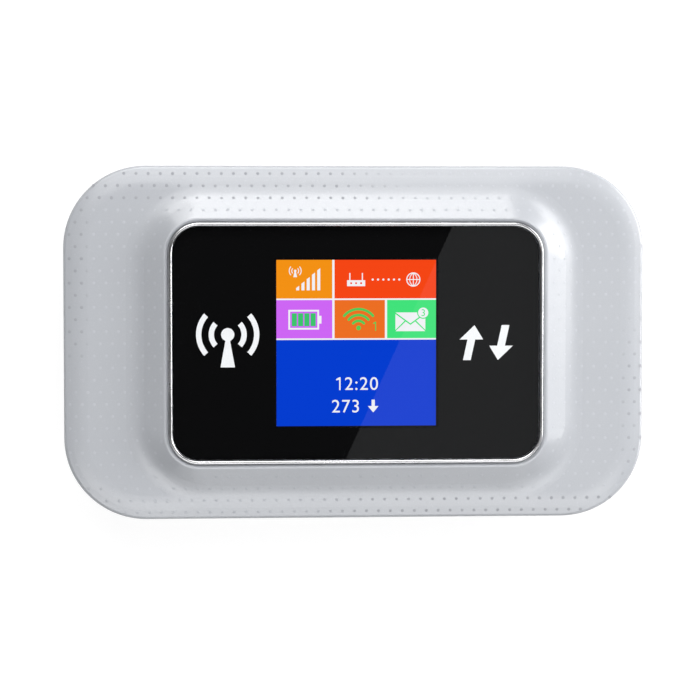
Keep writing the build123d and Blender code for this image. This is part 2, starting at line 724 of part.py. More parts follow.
def make_usb_tongue():
    """Plastic back block and contact tongue inside the socket."""
    with BuildPart() as tongue:
        with BuildSketch(USB_BACK):
            Rectangle(USB_BLOCK_WIDTH, USB_HEIGHT - 2 * USB_SHEET - PAST)
        extrude(amount=USB_BLOCK)
        with BuildSketch(USB_BACK):
            with Locations((0, USB_TONGUE_LIFT)):
                Rectangle(USB_TONGUE_WIDTH, USB_TONGUE)
        extrude(amount=USB_DEPTH - USB_TONGUE_SETBACK)
    return tongue


def make_usb_contacts():
    """Five gold strips under the tongue."""
    strip_pitch = 0.65
    strip_width = 0.3
    strip_length = 3.1
    with BuildPart() as contacts:
        with BuildSketch(USB_BACK.offset(USB_BLOCK)):
            with Locations((0, USB_TONGUE_LIFT - USB_TONGUE / 2 - USB_STRIP / 2)):
                with GridLocations(strip_pitch, 1, 5, 1):
                    Rectangle(strip_width, USB_STRIP)
        extrude(amount=strip_length)
    return contacts


def make_battery_connector():
    """Moulded block that hangs from the board into the end of the battery bay."""
    with BuildPart() as block:
        with BuildSketch(Plane.XY.offset(CONNECTOR_LOW_Z)):
            with Locations((BATTERY_END_X - CONNECTOR_BACK, 0)):
                Rectangle(CONNECTOR_DEPTH, CONNECTOR_WIDTH)
        extrude(amount=BOARD_LOW_Z - CONNECTOR_LOW_Z)
        chamfer(block.edges().filter_by(Axis.Z), 0.3)
    return block


def make_battery_springs():
    """Three spring leaves that press on the battery's contacts."""
    root_x = BATTERY_END_X - 0.9
    tip_x = BATTERY_END_X - 0.05
    width = 1.2
    with BuildPart() as springs:
        for y in (-CONTACT_PITCH, 0.0, CONTACT_PITCH):
            with BuildSketch(Plane.XZ.offset(-y - width / 2)):
                Polygon(
                    (root_x, 5.2),
                    (tip_x, 3.95),
                    (root_x, 2.9),
                    (root_x, 3.2),
                    (tip_x - 0.3, 3.95),
                    (root_x, 4.85),
                    align=None,
                )
            extrude(amount=width)
    return springs


def make_sim_holder():
    """Pressed holder for the card, open at the -Y end and below along a finger slot."""
    slot_low = SIM_LOW_Z - CARD_PLAY
    slot_high = SIM_LOW_Z + SIM_THICKNESS + CARD_PLAY
    end_y = SIM_Y + SIM_LENGTH / 2
    start_y = end_y - HOLDER_LENGTH
    end_wall = 0.6
    with BuildPart() as holder:
        with BuildSketch(Plane.XY.offset(HOLDER_LOW_Z)):
            with Locations((SIM_X, (start_y + end_y + end_wall) / 2)):
                Rectangle(SIM_WIDTH + 2 * HOLDER_WALL, HOLDER_LENGTH + end_wall)
        extrude(amount=BOARD_LOW_Z - HOLDER_LOW_Z)
        with BuildSketch(Plane.XY.offset(slot_low)):
            with Locations((SIM_X, (start_y + end_y) / 2)):
                Rectangle(SIM_WIDTH + 4 * CARD_PLAY, HOLDER_LENGTH + 2 * CARD_PLAY)
        extrude(amount=slot_high - slot_low, mode=Mode.SUBTRACT)
        with BuildSketch(Plane.XY.offset(HOLDER_LOW_Z)):
            with Locations((SIM_X, start_y + 3.0)):
                RectangleRounded(6.0, 8.0, 1.0)
        extrude(amount=slot_low - HOLDER_LOW_Z, mode=Mode.SUBTRACT)
    return holder


def make_sim_card():
    """Micro SIM with one cut corner."""
    with BuildPart() as card:
        with BuildSketch(Plane.XY.offset(SIM_LOW_Z)):
            with Locations((SIM_X, SIM_Y)):
                Rectangle(SIM_WIDTH, SIM_LENGTH)
        extrude(amount=SIM_THICKNESS)
        upright = card.edges().filter_by(Axis.Z).group_by(Axis.Y)
        chamfer(upright[-1].sort_by(Axis.X)[-1], CARD_CUT)
        fillet(card.edges().filter_by(Axis.Z).group_by(Axis.Y)[0], CARD_ROUND)
    return card


# ================= Display module =================


def make_lcd_frame():
    """Moulded tray round the light guide and the glass, slotted for the flex."""
    flex_slot = 0.35
    with BuildPart() as tray:
        with BuildSketch(Plane.XY.offset(LCD_LOW_Z)):
            with Locations((0, LCD_Y)):
                RectangleRounded(LCD_LENGTH, LCD_WIDTH, LCD_CORNER)
        extrude(amount=LCD_TOP_Z - LCD_LOW_Z)
        with BuildSketch(Plane.XY.offset(LCD_LOW_Z + TRAY_FLOOR)):
            with Locations((0, LCD_Y)):
                Rectangle(LCD_LENGTH - 2 * LCD_WALL, LCD_WIDTH - 2 * LCD_WALL)
        extrude(amount=LCD_TOP_Z - LCD_LOW_Z, mode=Mode.SUBTRACT)
        with BuildSketch(Plane.XY.offset(FLEX_Z - flex_slot / 2)):
            with Locations((0, LCD_Y - LCD_WIDTH / 2 + LCD_WALL / 2)):
                Rectangle(FLEX_WIDTH + 1.0, LCD_WALL + 2 * PAST)
        extrude(amount=flex_slot, mode=Mode.SUBTRACT)
    return tray


def make_lcd_gasket():
    """Thin foam frame between the display tray and the window."""
    with BuildPart() as gasket:
        with BuildSketch(Plane.XY.offset(LCD_TOP_Z)):
            with Locations((0, LCD_Y)):
                RectangleRounded(LCD_LENGTH, LCD_WIDTH, LCD_CORNER)
            RectangleRounded(
                VIEW_LENGTH + GASKET_SETBACK,
                VIEW_WIDTH + GASKET_SETBACK,
                LCD_CORNER,
                mode=Mode.SUBTRACT,
            )
        extrude(amount=LEDGE_Z + ADHESIVE - LCD_TOP_Z)
    return gasket


def make_lcd_flex():
    """Ribbon from the glass, out of the tray and back under it to the board's connector."""
    edge_y = LCD_Y - LCD_WIDTH / 2 - 0.5
    tail = 5.0
    with BuildPart() as ribbon:
        with BuildSketch(Plane.YZ.offset(-FLEX_WIDTH / 2)):
            with BuildLine():
                Line((edge_y + 1.1, FLEX_Z), (edge_y, FLEX_Z))
                CenterArc((edge_y, FLEX_Z - FLEX_BEND), FLEX_BEND, 90, 180)
                Line((edge_y, FLEX_LOW_Z), (edge_y + tail, FLEX_LOW_Z))
            trace(line_width=FLEX)
        extrude(amount=FLEX_WIDTH)
    return ribbon


def make_lcd_connector():
    """Low board connector with a slot for the ribbon."""
    y = LCD_Y - LCD_WIDTH / 2 + 5.1
    slot = FLEX + 0.08
    with BuildPart() as connector:
        with BuildSketch(Plane.XY.offset(BOARD_HIGH_Z)):
            with Locations((0, y)):
                Rectangle(FLEX_WIDTH + 2.4, 3.2)
        extrude(amount=1.1)
        with BuildSketch(Plane.XY.offset(FLEX_LOW_Z - slot / 2)):
            with Locations((0, y - 0.9)):
                Rectangle(FLEX_WIDTH + 0.2, 2.0)
        extrude(amount=slot, mode=Mode.SUBTRACT)
    return connector


# ================= Antennas =================


def make_antenna(length, width, place, fingers):
    """Thin flexible antenna with slots between its traces."""
    with BuildPart() as antenna:
        with BuildSketch(Plane.XY.offset(ROOF_Z - ANTENNA_DROP)):
            with Locations(place):
                RectangleRounded(length, width, 0.8)
                with Locations((0.9, 0)):
                    if width > length:
                        with GridLocations(1, width / fingers, 1, fingers - 1):
                            Rectangle(length - 3.0, 0.8, mode=Mode.SUBTRACT)
                    else:
                        with GridLocations(length / fingers, 1, fingers - 1, 1):
                            Rectangle(0.8, width - 2.0, mode=Mode.SUBTRACT)
        extrude(amount=ANTENNA)
    return antenna


# ================= Battery =================


def make_battery_cell():
    """Flat wrapped cell with rounded sides."""
    low_x = BATTERY_END_X + BATTERY_CAP
    high_x = BATTERY_X + BATTERY_LENGTH / 2
    with BuildPart() as cell:
        with BuildSketch(Plane.YZ.offset(low_x)):
            with Locations((0, BATTERY_MIDDLE_Z)):
                RectangleRounded(BATTERY_WIDTH, BATTERY_HEIGHT, CELL_ROUND)
        extrude(amount=high_x - low_x)
        fillet(cell.faces().sort_by(Axis.X)[-1].edges(), CELL_END_ROUND)
    return cell


def make_battery_cap():
    """Moulded end of the battery with three recessed contact windows."""
    with BuildPart() as cap:
        with BuildSketch(Plane.YZ.offset(BATTERY_END_X)):
            with Locations((0, BATTERY_MIDDLE_Z)):
                RectangleRounded(BATTERY_WIDTH, BATTERY_HEIGHT, CELL_ROUND)
        extrude(amount=BATTERY_CAP)
        with BuildSketch(Plane.YZ.offset(BATTERY_END_X)):
            with Locations((0, BATTERY_MIDDLE_Z)):
                with GridLocations(CONTACT_PITCH, 1, 3, 1):
                    Rectangle(CONTACT_WIDTH, CONTACT_HEIGHT)
        extrude(amount=0.3, mode=Mode.SUBTRACT)
    return cap


def make_battery_contacts():
    """Three gold plates in the cap's windows."""
    with BuildPart() as contacts:
        with BuildSketch(Plane.YZ.offset(BATTERY_END_X + 0.1)):
            with Locations((0, BATTERY_MIDDLE_Z)):
                with GridLocations(CONTACT_PITCH, 1, 3, 1):
                    Rectangle(CONTACT_WIDTH, CONTACT_HEIGHT)
        extrude(amount=0.2)
    return contacts


# ================= All pieces =================

MODEM_PLACE = (-9.0, 6.0)
MEMORY_PLACE = (2.5, 6.0)
WIFI_PLACE = (20.0, 10.0)
POWER_PLACE = (24.0, -12.0)
guide_length = LCD_LENGTH - 2 * (LCD_WALL + LCD_PLAY)
guide_width = LCD_WIDTH - 2 * (LCD_WALL + LCD_PLAY)
glass_low = LCD_TOP_Z - LCD_GLASS + GLASS_SETBACK
guide_high = LCD_TOP_Z - LCD_GLASS - LCD_PLAY

PIECES = {
    "front_cover": make_front_cover(),
    "middle_housing": make_middle_housing(),
    "back_cover": make_back_cover(),
    "trim_ring": make_trim_ring(),
    "display_window": make_display_window(),
    "window_mask": window_layer(
        0.0, LEDGE_Z + ADHESIVE, LEDGE_Z + ADHESIVE + INK, VIEW_LENGTH, VIEW_WIDTH
    ),
    "window_adhesive": window_layer(
        -0.1,
        LEDGE_Z,
        LEDGE_Z + ADHESIVE,
        WINDOW_LENGTH - 2 * ADHESIVE_WIDTH,
        WINDOW_WIDTH - 2 * ADHESIVE_WIDTH,
        WINDOW_CORNER - ADHESIVE_WIDTH,
    ),
    "radio_print": make_radio_print(),
    "arrows_print": make_arrows_print(),
    "power_button": make_side_key(SIDE_X, POWER_KEY_Y, POWER_KEY_LENGTH),
    "power_plunger": make_key_plunger(SIDE_X, POWER_KEY_Y),
    "power_switch": make_side_switch(SIDE_X, POWER_KEY_Y),
    "wps_button": make_side_key(SIDE_Y, WPS_KEY_X, WPS_KEY_LENGTH),
    "wps_plunger": make_key_plunger(SIDE_Y, WPS_KEY_X),
    "wps_switch": make_side_switch(SIDE_Y, WPS_KEY_X),
    "reset_switch": make_reset_switch(),
    "reset_plunger": make_reset_plunger(),
    "housing_screws": make_housing_screws(),
    "main_board": make_main_board(),
    "modem_shield": make_shield(26.0, 22.0, (-5.0, 6.0)),
    "wifi_shield": make_shield(16.0, 14.0, WIFI_PLACE),
    "power_shield": make_shield(16.0, 16.0, POWER_PLACE),
    "modem_chip": slab(12.0, 12.0, BOARD_HIGH_Z, BOARD_HIGH_Z + MODEM_CHIP, MODEM_PLACE),
    "memory_chip": slab(8.0, 10.0, BOARD_HIGH_Z, BOARD_HIGH_Z + CHIP, MEMORY_PLACE),
    "wifi_chip": slab(7.0, 7.0, BOARD_HIGH_Z, BOARD_HIGH_Z + CHIP, WIFI_PLACE),
    "power_chip": slab(6.0, 6.0, BOARD_HIGH_Z, BOARD_HIGH_Z + CHIP, POWER_PLACE),
    "radio_amplifiers": make_group(
        ((5.0, 4.0, -27.0, 14.0), (5.0, 4.0, -27.0, 7.0), (4.0, 3.0, -27.0, 0.5)), BOARD_HIGH_Z, 0.9
    ),
    "clock_crystals": make_group(
        ((3.2, 2.5, 30.5, -1.0), (2.5, 2.0, -20.5, -6.0)), BOARD_HIGH_Z, 0.7
    ),
    "board_passives": make_board_passives(),
    "thermal_pad": slab(
        11.0, 11.0, BOARD_HIGH_Z + MODEM_CHIP, SHIELD_TOP_Z - SHIELD_SHEET, MODEM_PLACE
    ),
    "lcd_foam_pad": slab(20.0, 14.0, SHIELD_TOP_Z, LCD_LOW_Z, (-3.0, 6.0)),
    "lcd_frame": make_lcd_frame(),
    "lcd_backlight": slab(
        guide_length, guide_width, LCD_LOW_Z + TRAY_FLOOR, guide_high, (0, LCD_Y)
    ),
    "lcd_glass": slab(
        guide_length - LCD_PLAY, guide_width - LCD_PLAY, glass_low, LCD_TOP_Z, (0, LCD_Y)
    ),
    "lcd_gasket": make_lcd_gasket(),
    "lcd_flex": make_lcd_flex(),
    "lcd_connector": make_lcd_connector(),
    "usb_shell": make_usb_shell(),
    "usb_tongue": make_usb_tongue(),
    "usb_contacts": make_usb_contacts(),
    "battery_connector": make_battery_connector(),
    "battery_springs": make_battery_springs(),
    "sim_holder": make_sim_holder(),
    "sim_card": make_sim_card(),
    "antenna_springs": make_antenna_springs(),
    "main_antenna": make_antenna(8.5, 30.0, (-39.4, 0.0), 5),
    "diversity_antenna": make_antenna(8.5, 30.0, (39.4, 0.0), 5),
    "wifi_antenna": make_antenna(24.0, 3.4, (2.0, 24.9), 5),
    "rating_label": slab(
        36.0, 28.0, SHELF_LOW_Z - LABEL, SHELF_LOW_Z, (BATTERY_X, 0), LABEL_CORNER
    ),
    "battery_cell": make_battery_cell(),
    "battery_cap": make_battery_cap(),
    "battery_contacts": make_battery_contacts(),
    "battery_label": slab(
        44.0,
        34.0,
        BATTERY_LOW_Z - LABEL,
        BATTERY_LOW_Z,
        (BATTERY_X + BATTERY_CAP / 2, 0),
        LABEL_CORNER,
    ),
}

os.makedirs("parts", exist_ok=True)
for name, piece in PIECES.items():
    piece.part.label = name
    export_step(piece.part, f"parts/{name}.step")
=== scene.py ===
import json
import math

import bmesh
import bpy
from mathutils import Matrix, Vector
from mathutils.bvhtree import BVHTree


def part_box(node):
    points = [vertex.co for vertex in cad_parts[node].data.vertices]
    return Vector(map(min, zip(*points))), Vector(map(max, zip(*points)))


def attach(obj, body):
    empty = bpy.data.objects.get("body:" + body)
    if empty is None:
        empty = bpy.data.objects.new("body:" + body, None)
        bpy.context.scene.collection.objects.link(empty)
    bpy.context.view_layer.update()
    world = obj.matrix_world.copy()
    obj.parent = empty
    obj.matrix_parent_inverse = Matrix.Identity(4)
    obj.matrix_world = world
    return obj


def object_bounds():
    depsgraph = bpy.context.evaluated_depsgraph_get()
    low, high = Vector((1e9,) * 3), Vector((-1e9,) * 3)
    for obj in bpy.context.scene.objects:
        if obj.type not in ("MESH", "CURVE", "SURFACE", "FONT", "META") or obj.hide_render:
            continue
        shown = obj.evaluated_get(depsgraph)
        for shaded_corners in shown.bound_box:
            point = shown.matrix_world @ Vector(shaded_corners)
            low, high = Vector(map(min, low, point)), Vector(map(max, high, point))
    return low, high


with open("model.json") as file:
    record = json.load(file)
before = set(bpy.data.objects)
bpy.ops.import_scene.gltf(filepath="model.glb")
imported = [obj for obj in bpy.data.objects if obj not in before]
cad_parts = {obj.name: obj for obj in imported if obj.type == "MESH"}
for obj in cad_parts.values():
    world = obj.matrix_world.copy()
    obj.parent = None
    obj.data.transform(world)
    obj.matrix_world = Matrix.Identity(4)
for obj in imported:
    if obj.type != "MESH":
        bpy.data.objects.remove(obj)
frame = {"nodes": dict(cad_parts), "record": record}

# The looks of a pocket mobile hotspot: finishes for its pieces, the picture on its display, the
# dot texture of its front, and a plain studio. Metres, in the model's own frame: +X along the
# long side, +Z out of the display.

MM = 0.001
cad_low, cad_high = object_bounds()
nodes = frame["nodes"]
WINDOW_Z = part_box("display_window")[1].z
DISPLAY_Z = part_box("lcd_glass")[1].z
LAYER_RISE = 0.008 * MM  # between two levels of the picture on the display
LIGHT_DISTANCE = 0.42


# ================= Material helpers =================


def start_material(name):
    """A material with one Principled shader wired to its output, and the shader itself."""
    material = bpy.data.materials.new(name)
    material.use_nodes = True
    tree = material.node_tree
    tree.nodes.clear()
    output = tree.nodes.new("ShaderNodeOutputMaterial")
    shader = tree.nodes.new("ShaderNodeBsdfPrincipled")
    tree.links.new(shader.outputs["BSDF"], output.inputs["Surface"])
    return material, tree, shader


def place_of(tree):
    """Coordinates fixed to the piece, in metres."""
    return tree.nodes.new("ShaderNodeTexCoord").outputs["Object"]


def noise(tree, grain, detail=3.0, stretch=(1.0, 1.0, 1.0)):
    """Cloudy noise whose features are about grain metres across."""
    mapping = tree.nodes.new("ShaderNodeMapping")
    mapping.inputs["Scale"].default_value = stretch
    tree.links.new(place_of(tree), mapping.inputs["Vector"])
    node = tree.nodes.new("ShaderNodeTexNoise")
    node.inputs["Scale"].default_value = 1.0 / grain
    node.inputs["Detail"].default_value = detail
    tree.links.new(mapping.outputs["Vector"], node.inputs["Vector"])
    return node.outputs["Fac"]


def spread(tree, value, low, high):
    """Maps a 0.3 to 0.7 noise onto a range."""
    node = tree.nodes.new("ShaderNodeMapRange")
    node.inputs["From Min"].default_value = 0.3
    node.inputs["From Max"].default_value = 0.7
    node.inputs["To Min"].default_value = low
    node.inputs["To Max"].default_value = high
    tree.links.new(value, node.inputs["Value"])
    return node.outputs["Result"]


def blend_colours(tree, value, first, second):
    """Blends two colours by a noise."""
    node = tree.nodes.new("ShaderNodeMix")
    node.data_type = "RGBA"
    node.inputs["A"].default_value = (*first, 1.0)
    node.inputs["B"].default_value = (*second, 1.0)
    tree.links.new(spread(tree, value, 0.0, 1.0), node.inputs["Factor"])
    return node.outputs["Result"]


def bump(tree, shader, height, depth, strength=1.0):
    """Raises a surface by a noise, depth metres at most."""
    node = tree.nodes.new("ShaderNodeBump")
    node.inputs["Distance"].default_value = depth
    node.inputs["Strength"].default_value = strength
    tree.links.new(height, node.inputs["Height"])
    tree.links.new(node.outputs["Normal"], shader.inputs["Normal"])


def scaled(colour, factor):
    """A lighter or darker form of a colour."""
    return tuple(min(1.0, channel * factor) for channel in colour)


def moulded(name, colour, roughness, grain=0.00018, depth=0.000004):
    """Moulded plastic: colour drifting a little, fine grain and uneven gloss."""
    material, tree, shader = start_material(name)
    cloud = noise(tree, 0.012, 4.0)
    colours = blend_colours(tree, cloud, scaled(colour, 0.97), scaled(colour, 1.03))
    tree.links.new(colours, shader.inputs["Base Color"])
    fine = noise(tree, grain, 2.0)
    uneven = 0.04
    gloss = spread(tree, fine, roughness - uneven, roughness + uneven)
    tree.links.new(gloss, shader.inputs["Roughness"])
    bump(tree, shader, fine, depth)
    return material


def metal(name, colour, roughness, stretch=(1.0, 1.0, 1.0), grain=0.0004, depth=0.000002):
    """Plated or rolled metal with faint streaks in its gloss."""
    material, tree, shader = start_material(name)
    streaks = noise(tree, grain, 3.0, stretch)
    colours = blend_colours(tree, streaks, scaled(colour, 0.95), scaled(colour, 1.04))
    tree.links.new(colours, shader.inputs["Base Color"])
    shader.inputs["Metallic"].default_value = 1.0
    gloss = spread(tree, streaks, roughness * 0.75, roughness * 1.3)
    tree.links.new(gloss, shader.inputs["Roughness"])
    bump(tree, shader, streaks, depth)
    return material


# ================= Materials =================


def pearl_shell():
    """Pearl white satin moulding with fine flakes."""
    material, tree, shader = start_material("pearl_shell")
    cloud = noise(tree, 0.02, 3.0)
    colours = blend_colours(tree, cloud, (0.448, 0.463, 0.494), (0.464, 0.479, 0.508))
    tree.links.new(colours, shader.inputs["Base Color"])
    flakes = noise(tree, 0.00012, 2.0)
    tree.links.new(spread(tree, flakes, 0.22, 0.28), shader.inputs["Roughness"])
    shader.inputs["Specular IOR Level"].default_value = 0.9
    bump(tree, shader, flakes, 0.0000015)
    return material


def glossy_print(name, colour):
    """Ink on the back of the acrylic, which gives it a mirror gloss with faint smears."""
    material, tree, shader = start_material(name)
    cloud = noise(tree, 0.012, 4.0)
    colours = blend_colours(tree, cloud, scaled(colour, 0.99), scaled(colour, 1.01))
    tree.links.new(colours, shader.inputs["Base Color"])
    smears = noise(tree, 0.009, 4.0)
    tree.links.new(spread(tree, smears, 0.0, 0.02), shader.inputs["Roughness"])
    shader.inputs["Specular IOR Level"].default_value = 0.5
    return material


def clear_pane():
    """Clear acrylic. Light passes straight through, and its outer face mirrors at a slant."""
    material = bpy.data.materials.new("clear_pane")
    material.use_nodes = True
    tree = material.node_tree
    tree.nodes.clear()
    output = tree.nodes.new("ShaderNodeOutputMaterial")
    clear = tree.nodes.new("ShaderNodeBsdfTransparent")
    clear.inputs["Color"].default_value = (0.97, 0.975, 0.98, 1.0)
    mirror = tree.nodes.new("ShaderNodeBsdfGlossy")
    smears = noise(tree, 0.009, 4.0)
    tree.links.new(spread(tree, smears, 0.0, 0.012), mirror.inputs["Roughness"])
    fresnel = tree.nodes.new("ShaderNodeFresnel")
    fresnel.inputs["IOR"].default_value = 1.49
    side = tree.nodes.new("ShaderNodeNewGeometry")
    outer = tree.nodes.new("ShaderNodeMath")
    outer.operation = "SUBTRACT"
    outer.inputs[0].default_value = 1.0
    tree.links.new(side.outputs["Backfacing"], outer.inputs[1])
    slant = tree.nodes.new("ShaderNodeMapRange")
    slant.inputs["From Min"].default_value = 0.045
    slant.inputs["To Max"].default_value = 0.9
    tree.links.new(fresnel.outputs["Fac"], slant.inputs["Value"])
    share = tree.nodes.new("ShaderNodeMath")
    share.operation = "MULTIPLY"
    tree.links.new(slant.outputs["Result"], share.inputs[0])
    tree.links.new(outer.outputs["Value"], share.inputs[1])
    mix = tree.nodes.new("ShaderNodeMixShader")
    tree.links.new(share.outputs["Value"], mix.inputs["Fac"])
    tree.links.new(clear.outputs["BSDF"], mix.inputs[1])
    tree.links.new(mirror.outputs["BSDF"], mix.inputs[2])
    tree.links.new(mix.outputs["Shader"], output.inputs["Surface"])
    return material


def lit_pixels(name, colour):
    """A lit colour of the display, broken up by its fine pixel rows."""
    row_pitch = 0.2 * MM
    wave_factor = 20  # the wave node multiplies places by this before it takes their sine
    material, tree, shader = start_material(name)
    shader.inputs["Base Color"].default_value = (0.001, 0.001, 0.001, 1.0)
    shader.inputs["Roughness"].default_value = 0.01
    shader.inputs["Specular IOR Level"].default_value = 0.5
    rows = tree.nodes.new("ShaderNodeTexWave")
    rows.bands_direction = "Y"
    rows.inputs["Scale"].default_value = 2 * math.pi / (wave_factor * row_pitch)
    tree.links.new(place_of(tree), rows.inputs["Vector"])
    colours = tree.nodes.new("ShaderNodeMix")
    colours.data_type = "RGBA"
    colours.inputs["A"].default_value = (*scaled(colour, 0.96), 1.0)
    colours.inputs["B"].default_value = (*scaled(colour, 1.04), 1.0)
    tree.links.new(rows.outputs["Fac"], colours.inputs["Factor"])
    tree.links.new(colours.outputs["Result"], shader.inputs["Emission Color"])
    shader.inputs["Emission Strength"].default_value = 1.0
    return material


def circuit_board():
    """Green solder mask over copper traces."""
    material, tree, shader = start_material("circuit_board")
    bricks = tree.nodes.new("ShaderNodeTexBrick")
    bricks.inputs["Scale"].default_value = 260.0
    bricks.inputs["Color1"].default_value = (0.010, 0.115, 0.055, 1.0)
    bricks.inputs["Color2"].default_value = (0.013, 0.135, 0.065, 1.0)
    bricks.inputs["Mortar"].default_value = (0.035, 0.21, 0.10, 1.0)
    bricks.inputs["Mortar Size"].default_value = 0.03
    tree.links.new(place_of(tree), bricks.inputs["Vector"])
    tree.links.new(bricks.outputs["Color"], shader.inputs["Base Color"])
    fine = noise(tree, 0.0008)
    tree.links.new(spread(tree, fine, 0.25, 0.4), shader.inputs["Roughness"])
    bump(tree, shader, bricks.outputs["Fac"], 0.00002, 0.4)
    return material


FINISHES = {
    "white_shell": pearl_shell(),
    "grey_band": moulded("band_plastic", (0.56, 0.57, 0.585), 0.42),
    "white_back": moulded("back_plastic", (0.57, 0.58, 0.595), 0.48, grain=0.0003, depth=0.00001),
    "chrome_ring": metal("chrome_plating", (0.70, 0.70, 0.715), 0.24, grain=0.004, depth=0.0),
    "clear_window": clear_pane(),
    "black_ink": glossy_print("black_ink", (0.0033, 0.0033, 0.0035)),
    "white_ink": glossy_print("white_ink", (0.90, 0.90, 0.90)),
    "adhesive": moulded("foam_tape", (0.03, 0.03, 0.03), 0.8),
    "key_plastic": moulded("key_plastic", (0.60, 0.61, 0.625), 0.28),
    "switch_plastic": moulded("black_moulding", (0.02, 0.02, 0.022), 0.45),
    "plunger_plastic": moulded("ivory_moulding", (0.62, 0.59, 0.50), 0.45),
    "steel": metal("zinc_steel", (0.62, 0.62, 0.64), 0.28),
    "board_green": circuit_board(),
    "shield_tin": metal("tin_sheet", (0.66, 0.66, 0.67), 0.32, (1.0, 6.0, 1.0)),
    "chip_black": moulded("chip_epoxy", (0.018, 0.018, 0.02), 0.55, grain=0.0001, depth=0.00001),
    "ceramic": moulded("ceramic", (0.36, 0.27, 0.18), 0.5),
    "thermal_grey": moulded("thermal_silicone", (0.25, 0.30, 0.38), 0.8),
    "foam_black": moulded("black_foam", (0.02, 0.02, 0.02), 0.95, grain=0.0003, depth=0.00005),
    "lcd_tray": moulded("tray_plastic", (0.72, 0.72, 0.70), 0.5),
    "light_guide": moulded("light_guide", (0.80, 0.82, 0.84), 0.35),
    "lcd_glass": moulded("display_glass", (0.004, 0.004, 0.006), 0.12, depth=0.0000003),
    "flex_amber": moulded("polyimide", (0.38, 0.16, 0.025), 0.35),
    "connector_plastic": moulded("connector_plastic", (0.58, 0.54, 0.42), 0.5),
    "gold": metal("gold_plating", (0.86, 0.60, 0.22), 0.22),
    "card_plastic": moulded("card_stock", (0.72, 0.72, 0.70), 0.4),
    "battery_wrap": moulded("battery_wrap", (0.36, 0.37, 0.39), 0.33, grain=0.0005),
    "battery_cap_black": moulded("cap_moulding", (0.025, 0.025, 0.027), 0.5),
    "label_paper": moulded("label_film", (0.74, 0.74, 0.72), 0.6, grain=0.0004, depth=0.00001),
}


def finish_nodes():
    """Gives every node of the model the finish of its slot."""
    for part in frame["record"]["subparts"]:
        node = nodes[part["node"]]
        node.data.materials.clear()
        node.data.materials.append(FINISHES[part["material_slot"]])


# ================= Flat shapes for the display =================


def around(x, y, radius, turns):
    """Points on a circle at some angles in radians."""
    return [(x + radius * math.cos(turn), y + radius * math.sin(turn)) for turn in turns]


class Picture:
    """Flat shapes on stacked levels, in millimetres from the middle of the lit area."""

    def __init__(self, low_z):
        self.mesh = bmesh.new()
        self.materials = []
        self.low_z = low_z

    def slot(self, material):
        """The number of a material's slot, added when it is new."""
        if material not in self.materials:
            self.materials.append(material)
        return self.materials.index(material)

    def polygon(self, points, material, level):
        """A flat face through some points."""
        z = self.low_z + level * LAYER_RISE
        corners = [self.mesh.verts.new((x * MM, y * MM, z)) for x, y in points]
        face = self.mesh.faces.new(corners)
        face.material_index = self.slot(material)

    def box(self, low_x, high_x, low_y, high_y, material, level):
        """An upright rectangle between two sides and two heights."""
        points = [(low_x, low_y), (high_x, low_y), (high_x, high_y), (low_x, high_y)]
        self.polygon(points, material, level)

    def disc(self, x, y, radius, material, level, steps=28):
        """A filled circle."""
        turn = 2 * math.pi / steps
        turns = [i * turn for i in range(steps)]
        self.polygon(around(x, y, radius, turns), material, level)

    def arc(self, x, y, radius, width, start, end, material, level, steps=18):
        """A curved band between two angles in degrees."""
        for i in range(steps):
            turns = [math.radians(start + (end - start) * (i + k) / steps) for k in (0, 1)]
            inner = around(x, y, radius - width / 2, turns)
            outer = around(x, y, radius + width / 2, turns)
            self.polygon([inner[0], outer[0], outer[1], inner[1]], material, level)

    def digits(self, text, x, y, height, material, level, spacing=1.0):
        """Plain digits with their middle at a point."""
        curve = bpy.data.curves.new("digits", "FONT")
        curve.body = text
        curve.align_x = "CENTER"
        curve.space_character = spacing
        curve.size = 1.0
        holder = bpy.data.objects.new("digits", curve)
        bpy.context.scene.collection.objects.link(holder)
        bpy.context.view_layer.update()
        graph = bpy.context.evaluated_depsgraph_get()
        mesh = bpy.data.meshes.new_from_object(holder.evaluated_get(graph))
        heights = [v.co.y for v in mesh.vertices]
        middles = [v.co.x for v in mesh.vertices]
        scale = height / (max(heights) - min(heights))
        middle_y = (max(heights) + min(heights)) / 2
        middle_x = (max(middles) + min(middles)) / 2
        z = self.low_z + level * LAYER_RISE
        index = self.slot(material)
        made = [
            self.mesh.verts.new(
                ((x + (v.co.x - middle_x) * scale) * MM, (y + (v.co.y - middle_y) * scale) * MM, z)
            )
            for v in mesh.vertices
        ]
        for polygon in mesh.polygons:
            face = self.mesh.faces.new([made[i] for i in polygon.vertices])
            face.material_index = index
        bpy.data.objects.remove(holder)
        bpy.data.curves.remove(curve)
        bpy.data.meshes.remove(mesh)

    def one(self, x, y, height, material, level):
        """A plain figure 1 with its flag."""
        half, stroke = height / 2, height * 0.11
        self.box(x, x + stroke, y - half, y + half, material, level)
        reach = height * 0.24
        flag = [
            (x, y + half),
            (x, y + half - stroke * 1.8),
            (x - reach, y + half - reach),
            (x - reach, y + half - reach * 0.62),
        ]
        self.polygon(flag, material, level)

    def finish(self, name):
        """Turns every face upwards and makes the picture a piece."""
        data = bpy.data.meshes.new(name)
        self.mesh.normal_update()
        for face in self.mesh.faces:
            if face.normal.z < 0:
                face.normal_flip()
        self.mesh.to_mesh(data)
        self.mesh.free()
        for material in self.materials:
            data.materials.append(material)
        piece = bpy.data.objects.new(name, data)
        bpy.context.scene.collection.objects.link(piece)
        return piece


